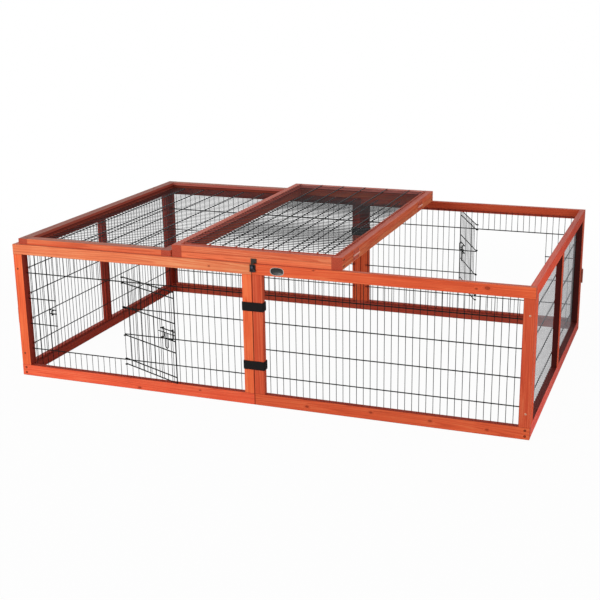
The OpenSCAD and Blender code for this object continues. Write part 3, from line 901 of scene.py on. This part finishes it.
# Places of the mesh wires on a wall, and how far a staple's crown stands off the timber there
MESH_INSET = 4 * MM
WIRE_PITCH = 22.75 * MM
FIRST_ROW = 96 * MM
ROW_PITCH = 92.8 * MM
ROWS = 4
ROW_RISE = {"back_left": 6.6 * MM, "back_right": 6.6 * MM, "left_end": 11.5 * MM, "right_end": -8 * MM}
CLOSE_WIRE_HIGH = 2.6 * MM
FAR_WIRE_HIGH = 5.4 * MM

# Distance of the staples from the rails' edges at the opening, and on the stiles from the first and
# last close wire. The close wires of some walls are counted from the low end, the others from the high
BOTTOM_STAPLE = 3.5 * MM
TOP_STAPLE = 3 * MM
STILE_STAPLE = 5 * MM
STARTS_LOW = ("front_left", "front_right", "right_end")


def add_staple(bm, at, height):
    """U-shaped staple over a wire: crown along local X, legs into the plane z = 0."""
    half, wire = STAPLE_CROWN / 2, STAPLE_WIRE
    path = [Vector((-half, 0, -STAPLE_SUNK))]
    for side in (-1, 1):
        bend = []
        for i in range(STAPLE_BEND_STEPS + 1):
            a = i * PI / 2 / STAPLE_BEND_STEPS
            inwards, down = wire * (1 - math.cos(a)), wire * (1 - math.sin(a))
            bend.append(Vector((side * (half - inwards), 0, height - down)))
        path.extend(bend if side < 0 else reversed(bend))
    path.append(Vector((half, 0, -STAPLE_SUNK)))
    rings = []
    for i, p in enumerate(path):
        ahead = path[min(i + 1, len(path) - 1)] - path[max(i - 1, 0)]
        out = ahead.normalized().cross(BACK) * wire * STAPLE_SECTION[0]
        across = BACK * wire * STAPLE_SECTION[1]
        rings.append([bm.verts.new(at @ (p + out * x + across * y))
                      for x, y in ((-1, -1), (1, -1), (1, 1), (-1, 1))])
    skin(bm, rings)
    bm.faces.new(rings[0])
    bm.faces.new(list(reversed(rings[-1])))


def staple_place(flat, along, z, direction, level):
    """Matrix of a staple on the inside face of a wall, its crown level or upright."""
    point = Vector((0, 0, z))
    point[flat] = along
    crown = Vector((0, 0, 0))
    crown[flat if level else 2] = 1
    turn = Matrix((crown, direction.cross(crown), direction)).transposed().to_4x4()
    return Matrix.Translation(point) @ turn


def wall_staples(wall):
    """Staples over the mesh wires along the rails and stiles of a wall, on its inside face.

    Gives (matrix, height of the crown) pairs. The close wires are counted from the end of the
    panel that they start from.
    """
    mesh_low, mesh_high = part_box(f"{wall}_mesh")
    direction, plane = INWARD[wall]
    flat = 0 if wall in LONG_WALLS else 1
    inside = Matrix.Translation(direction * (plane + TIMBER_T))
    near, far = mesh_low[flat] + MESH_INSET, mesh_high[flat] - MESH_INSET
    first, step = (near, WIRE_PITCH) if wall in STARTS_LOW else (far, -WIRE_PITCH)
    places = []
    for i in range(0, int((far - near) / WIRE_PITCH) + 1, STAPLE_EVERY):
        for z in (BOTTOM_H - BOTTOM_STAPLE, WALL_TOP - MEMBER_W + TOP_STAPLE):
            at = staple_place(flat, first + i * step, z, direction, True)
            places.append((inside @ at, CLOSE_WIRE_HIGH))
    for along in (near + STILE_STAPLE, far - STILE_STAPLE):
        for row in range(ROWS):
            z = FIRST_ROW + row * ROW_PITCH + ROW_RISE.get(wall, 0.0)
            places.append((inside @ staple_place(flat, along, z, direction, False), FAR_WIRE_HIGH))
    return places


def make_staples(mat):
    bm = bmesh.new()
    for wall in WALLS:
        for at, height in wall_staples(wall):
            add_staple(bm, at, height)
    make_object("wall_staples", bm, [mat], "run_frame")


# ---- straps

# Band: thickness, corner radius, and the room of the laid-over end in the box of the node
STRAP_T = 2 * MM
STRAP_R = 2.2 * MM
STRAP_LAP = 3 * MM
STRAP_ROWS = 8
CORNER_STEPS = 5

# Share of the thickness that the webbing loses at its edges, and the power by which it does
EDGE_LOSS = 0.55
EDGE_POWER = 8

# Laid-over end: its distance from the corner, length, steps, share of the width, and lift off the band
TAB_INSET = 5 * MM
TAB_LENGTH = 42 * MM
TAB_STEPS = 8
TAB_WIDTH = 0.98
TAB_LIFT = 0.1 * MM

STITCH = 2.6 * MM
STITCH_GAP = 1.4 * MM
STITCH_R = 0.35 * MM
STITCH_SIDES = 6
STITCH_INSET = 3 * MM
STITCH_SHARE = 0.36


def rounded_loop(x0, y0, x1, y1, radius):
    """Points of a rounded rectangle, counter-clockwise."""
    points = []
    for cx, cy, start in ((x1 - radius, y0 + radius, -PI / 2), (x1 - radius, y1 - radius, 0),
                          (x0 + radius, y1 - radius, PI / 2), (x0 + radius, y0 + radius, PI)):
        for i in range(CORNER_STEPS + 1):
            a = start + i * PI / 2 / CORNER_STEPS
            points.append(Vector((cx + radius * math.cos(a), cy + radius * math.sin(a))))
    return points


def strap_band(bm, path, z, width, closed):
    """Band of webbing along a path in the X-Y plane, with soft edges and a faint crown."""
    count = len(path)
    shape = []
    for i in range(STRAP_ROWS + 1):
        v = -1 + 2 * i / STRAP_ROWS
        shape.append((v * width / 2, STRAP_T / 2 * (1 - EDGE_LOSS * v ** EDGE_POWER)))
    shape += [(v, -t) for v, t in reversed(shape)]
    rings = []
    for i, p in enumerate(path):
        before = path[(i - 1) % count] if closed else path[max(i - 1, 0)]
        after = path[(i + 1) % count] if closed else path[min(i + 1, count - 1)]
        ahead = (after - before).normalized()
        out = Vector((ahead.y, -ahead.x))
        rings.append([bm.verts.new((p.x + out.x * t, p.y + out.y * t, z + v)) for v, t in shape])
    skin(bm, rings, closed)
    if not closed:
        bm.faces.new(list(reversed(rings[0])))
        bm.faces.new(rings[-1])


def stitch_row(bm, start, end, y, z, out):
    """Row of short stitches from x = start to end, standing out of the webbing by the sign of out."""
    turns = [k * 2 * PI / STITCH_SIDES for k in range(STITCH_SIDES)]
    x = start
    while x + STITCH < end:
        skin(bm, [[bm.verts.new((side, y + out * STITCH_R * math.sin(t), z + STITCH_R * math.cos(t)))
                   for t in turns] for side in (x, x + STITCH)])
        x += STITCH + STITCH_GAP


def make_straps(node, mat, thread):
    """Webbing round the middle stiles, with its overlapped end stitched on the inside."""
    boxes = loose_boxes(nodes[node])
    heights = sorted({round((low.z + high.z) / 2, 4) for low, high in boxes})
    width = boxes[0][1].z - boxes[0][0].z
    low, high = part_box(node)
    h = STRAP_T / 2

    # way points from the outside of the wall to its inside, where the end lies over the band
    way = 1 if low.y < (FRONT_Y + BACK_Y) / 2 else -1
    y0, y1 = (low.y, high.y - STRAP_LAP) if way > 0 else (low.y + STRAP_LAP, high.y)
    inner = y1 if way > 0 else y0
    x_end = high.x - TAB_INSET if way > 0 else low.x + TAB_INSET
    x_start = x_end - way * TAB_LENGTH
    path = rounded_loop(low.x + h, y0 + h, high.x - h, y1 - h, STRAP_R)
    tab = [Vector((x_start + (x_end - x_start) * i / TAB_STEPS, inner + way * (h + TAB_LIFT)))
           for i in range(TAB_STEPS + 1)]
    if way < 0:
        tab.reverse()
    bm = bmesh.new()
    for z in heights:
        strap_band(bm, path, z, width, True)
        strap_band(bm, tab, z, width * TAB_WIDTH, False)
    band = make_object(f"{node}_webbing", bm, [mat], "run_frame", smooth=True)
    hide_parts(node)

    bm = bmesh.new()
    ends = sorted((x_start + STITCH_INSET, x_end - way * STITCH_INSET))
    for z in heights:
        for dz in (-STITCH_SHARE * width, STITCH_SHARE * width):
            stitch_row(bm, *ends, inner + way * (STRAP_T + 2 * TAB_LIFT), z + dz, way)
    make_object(f"{node}_stitching", bm, [thread], "run_frame", smooth=True)


# ---- bare plate

PLATE_X = 87 * MM
PLATE_Z = 462 * MM
PLATE_W = 47 * MM
PLATE_H = 26 * MM
PLATE_SIDES = 48
PLATE_SQUARENESS = 0.75

# Rings of the plate's rim as (share of its size, lift off the rail), and the lift of its middle
PLATE_RINGS = ((1.0, 0.0), (1.0, 0.5 * MM), (0.98, 0.9 * MM), (0.945, 0.9 * MM), (0.925, 0.5 * MM))
PLATE_MIDDLE = 0.62 * MM


def make_plate(dark, rim_mat):
    """Bare oval plate on the front top rail, with a pale raised rim."""
    bm = bmesh.new()
    rings = []
    for share, lift in PLATE_RINGS:
        ring = []
        for i in range(PLATE_SIDES):
            a = 2 * PI * i / PLATE_SIDES
            c, s = math.cos(a), math.sin(a)
            x = math.copysign(abs(c) ** PLATE_SQUARENESS, c) * PLATE_W / 2 * share
            z = math.copysign(abs(s) ** PLATE_SQUARENESS, s) * PLATE_H / 2 * share
            ring.append(bm.verts.new((PLATE_X + x, FRONT_Y - lift, PLATE_Z + z)))
        rings.append(ring)
    for face in skin(bm, rings):
        face.material_index = 1
    centre = bm.verts.new((PLATE_X, FRONT_Y - PLATE_MIDDLE, PLATE_Z))
    for i in range(PLATE_SIDES):
        bm.faces.new((rings[-1][i], rings[-1][(i + 1) % PLATE_SIDES], centre))
    make_object("bare_plate", bm, [dark, rim_mat], "run_frame", smooth=True)


# ---- stage, light and camera

# Camera fitted to the photograph: place, and turn to the side, down and over
CAMERA_PLACE = Vector((1.36376, -3.13299, 1.36732))
CAMERA_YAW = -0.365716
CAMERA_PITCH = -0.287329
CAMERA_ROLL = -0.0142399
FOCAL_PX = 1107.32
IMAGE_PX = 600
SENSOR = 36.0
CLIP_END = 100

WHITE = (1, 1, 1, 1)
FLOOR_GREY = (0.86, 0.86, 0.86, 1)
FLOOR_R = 30
FLOOR_Z = -0.5 * MM

# Plain white on the floor: two distances from the origin, and its share before and beyond them
FLOOR_FADE = (1.6, 3.6, 0.965, 1.0)

# Strength of the world as a light, and name, place, size and power of the lamps
AMBIENT = 0.38
LAMPS = (
    ("key", (-3.0, -4.0, 1.8), 2.4, 122),
    ("fill", (4.6, -1.6, 1.6), 2.6, 60),
    ("top", (-0.4, 0.6, 4.6), 3.5, 8),
)
LAMP_TARGET = Vector((0, 0.4, 0.25))


def make_camera():
    fwd = Vector((math.sin(CAMERA_YAW) * math.cos(CAMERA_PITCH),
                  math.cos(CAMERA_YAW) * math.cos(CAMERA_PITCH), math.sin(CAMERA_PITCH)))
    right = Vector((math.cos(CAMERA_YAW), -math.sin(CAMERA_YAW), 0))
    up = right.cross(fwd)
    side = right * math.cos(CAMERA_ROLL) + up * math.sin(CAMERA_ROLL)
    top = up * math.cos(CAMERA_ROLL) - right * math.sin(CAMERA_ROLL)
    data = bpy.data.cameras.new("camera")
    data.sensor_width = SENSOR
    data.lens = SENSOR * FOCAL_PX / IMAGE_PX
    data.clip_end = CLIP_END
    camera = add_object("camera", data)
    turn = Matrix((side, top, -fwd)).transposed().to_4x4()
    camera.matrix_world = Matrix.Translation(CAMERA_PLACE) @ turn
    bpy.context.scene.camera = camera


def floor_material():
    """White floor: plain white to the camera, with a share of the real shading for the shadow."""
    mat = bpy.data.materials.new("white_floor")
    mat.use_nodes = True
    s = NodeTree(mat.node_tree)
    away = s.length(s.field("ShaderNodeTexCoord", out="Object"))
    share = s.field("ShaderNodeLightPath", out="Is Camera Ray") * s.step(away, *FLOOR_FADE)
    shaded = s.field("ShaderNodeBsdfDiffuse", {"Color": FLOOR_GREY})
    plain = s.field("ShaderNodeEmission", {"Color": WHITE, "Strength": 1.0})
    surface = s.field("ShaderNodeMixShader", {0: share, 1: shaded, 2: plain})
    s.node("ShaderNodeOutputMaterial", {"Surface": surface})
    return mat


def make_stage():
    bm = bmesh.new()
    bmesh.ops.create_circle(bm, cap_ends=True, segments=64, radius=FLOOR_R)
    floor = add_mesh_object("floor", bm, [floor_material()])
    floor.location = (0, 0, FLOOR_Z)


def make_world():
    """Plain light from all round, which the camera and reflections see as white."""
    world = bpy.data.worlds.new("white_studio")
    bpy.context.scene.world = world
    world.use_nodes = True
    s = NodeTree(world.node_tree)
    path = s.node("ShaderNodeLightPath")
    camera = Field(s, path.outputs["Is Camera Ray"])
    glossy = Field(s, path.outputs["Is Glossy Ray"])
    seen = s.math("MAXIMUM", camera, glossy)
    strength = s.field("ShaderNodeMapRange", {"Value": seen, "To Min": AMBIENT, "To Max": 1.0})
    back = s.field("ShaderNodeBackground", {"Color": WHITE, "Strength": strength})
    s.node("ShaderNodeOutputWorld", {"Surface": back})


def make_lamps():
    for name, place, size, power in LAMPS:
        data = bpy.data.lights.new(name, "AREA")
        data.shape = "DISK"
        data.size = size
        data.energy = power
        lamp = add_object(name, data)
        lamp.location = place
        lamp.rotation_mode = "QUATERNION"
        lamp.rotation_quaternion = (LAMP_TARGET - Vector(place)).to_track_quat("-Z", "Y")
    bpy.context.scene.view_settings.view_transform = "Standard"


# ---- dressing

# Thickness of the close wires, room round a bay and its lap on a lid's rails, and how far the
# latch's pivot lies under the top of the wall
CLOSE_WIRE = 1.8 * MM
BAY_MARGIN = 5 * MM
BAY_LAP = 0.5 * MM
LATCH_DROP = 9 * MM


def dress_timber():
    rng = random.Random(11)
    for wall in WALLS:
        for part in ("top_rail", "bottom_rail", "stiles"):
            node = f"{wall}_{part}"
            # Back walls are painted lit near the middle only low down; the right end takes painted shade
            # towards its back
            mat = timber_for(node, part, rng, bright=wall_bright(wall), fade_low=wall.startswith("back"),
                             joint=wall in LONG_WALLS, dim=BACK_SHADE_LEVEL.get(wall, 1.0))
            assign(nodes[node], mat)
    for lid, seams in LID_SEAMS.items():
        for part in ("side_rails", "cross_rails"):
            node = f"{lid}_{part}"
            assign(nodes[node], timber_for(node, part, rng, bright=lid_bright(node), seams=seams))


def wall_bays(wall):
    """Openings between the stiles and rails of a wall, deep enough to hold its mesh."""
    margin = Vector((BAY_MARGIN,) * 3)
    low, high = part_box(f"{wall}_mesh")
    flat = 0 if wall in LONG_WALLS else 1
    stiles = sorted(loose_boxes(nodes[f"{wall}_stiles"]), key=lambda box: box[0][flat])
    bays = []
    for (_, before), (after, _) in zip(stiles, stiles[1:]):
        bay_low, bay_high = low - margin, high + margin
        bay_low[flat], bay_high[flat] = before[flat], after[flat]
        bay_low.z, bay_high.z = BOTTOM_H, WALL_TOP - MEMBER_W
        bays.append((bay_low, bay_high))
    return bays


def lid_bay(lid):
    """Opening between the rails of a lid, deep enough to hold its mesh."""
    low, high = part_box(f"{lid}_cross_rails")
    inset = Vector((0, MEMBER_W - BAY_LAP, -BAY_MARGIN))
    return low + inset, high - inset


def dress_wire():
    loose = wire_material("coated_wire")
    for name, obj in nodes.items():
        if "door" in name:
            assign(obj, loose)
    for wall in WALLS:
        # Painted highlight on the front of the right end's upright wires
        glint = front_glint if wall == "right_end" else None
        mat = wire_material(f"{wall}_wire", wall_bays(wall), WALL_WIRE_STAIN, glint)
        assign(nodes[f"{wall}_mesh"], mat)
    for lid in LID_BODY:
        # The close wires are on the side of the mesh that is away from the folded lid's rails
        low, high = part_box(f"{lid}_mesh")
        bottom = low.z if lid == "right_lid" else high.z - CLOSE_WIRE
        # Painted highlight on the upper side of the lid's wires
        glint = top_glint(bottom, bottom + CLOSE_WIRE)
        mat = wire_material(f"{lid}_wire", [lid_bay(lid)], LID_WIRE_STAIN, glint)
        assign(nodes[f"{lid}_mesh"], mat)


def dress_metal():
    axis_low, axis_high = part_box("right_joint_hinge_pins")
    # Painted highlight along the knuckle of the lid hinges
    knuckle_glint = ((axis_low + axis_high) / 2, (255, 196, 176))
    corner = painted_steel("brown_steel", (160, 72, 48), (206, 132, 104), 0.34, 0.5, (226, 186, 160))
    hinge = painted_steel("coppered_steel", (205, 80, 46), (222, 140, 110), 0.34, 0.5, (240, 190, 160),
                          0.25, knuckle_glint)
    for name, obj in nodes.items():
        if "hinge" in name:
            assign(obj, corner if name.startswith("corner") else hinge)
    base_low, base_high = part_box("lid_latch_base")
    pivot = (base_low + base_high) / 2
    pivot.z = WALL_TOP - LATCH_DROP
    assign(nodes["lid_latch_base"], latch_material(pivot))
    assign(nodes["lid_latch_hook"], painted_steel("hook_steel", (22, 20, 24), (70, 70, 76), 0.32, 0.25))
    strike = painted_steel("strike_steel", (28, 18, 14), (70, 50, 30), 0.45, 0.3, (150, 120, 72))
    assign(nodes["lid_latch_strike"], strike)


def make_fixings():
    bronze = metal("bronzed_screws", (104, 70, 52), 0.34)
    zinc = metal("zinc_screws", (246, 206, 178), 0.3)
    red = metal("red_bronze_screws", (150, 66, 42), 0.4)
    for side, mat in (("right", zinc), ("left", bronze)):
        make_screws(f"{side}_stile_screws", wall_screws(STILE_SCREWS, [side]), "run_frame", mat)
    rail_places = wall_screws(RAIL_SCREWS, ["left", "right"])
    make_screws("rail_screws", rail_places, "run_frame", red, RAIL_SCREW_R)
    for node, body, side, upward in LID_LEAVES:
        make_leaf_screws(node, lid_leaf_screws(node, side, upward), body, bronze)
    make_leaf_screws("corner_hinge_leaves", corner_leaf_screws(), "run_frame", bronze)
    make_leaf_screws("lid_latch_strike", strike_screws(), "middle_lid", bronze)
    for lid, body in LID_BODY.items():
        make_screws(f"{lid}_screws", lid_screws(lid), body, bronze)
    make_staples(metal("stained_staples", (124, 58, 44), 0.4))
    dark = painted_steel("plate_face", (34, 38, 36), (60, 64, 60), 0.3, 0.2)
    rim = painted_steel("plate_rim", (206, 206, 196), (170, 170, 160), 0.35, 0.3)
    make_plate(dark, rim)
    webbing = webbing_material()
    thread = painted_steel("strap_thread", (44, 46, 48), (60, 62, 64), 0.8, 0.2)
    for node in ("front_straps", "back_straps"):
        make_straps(node, webbing, thread)


def main():
    make_camera()
    make_stage()
    make_world()
    make_lamps()
    dress_timber()
    dress_wire()
    dress_metal()
    make_fixings()


main()
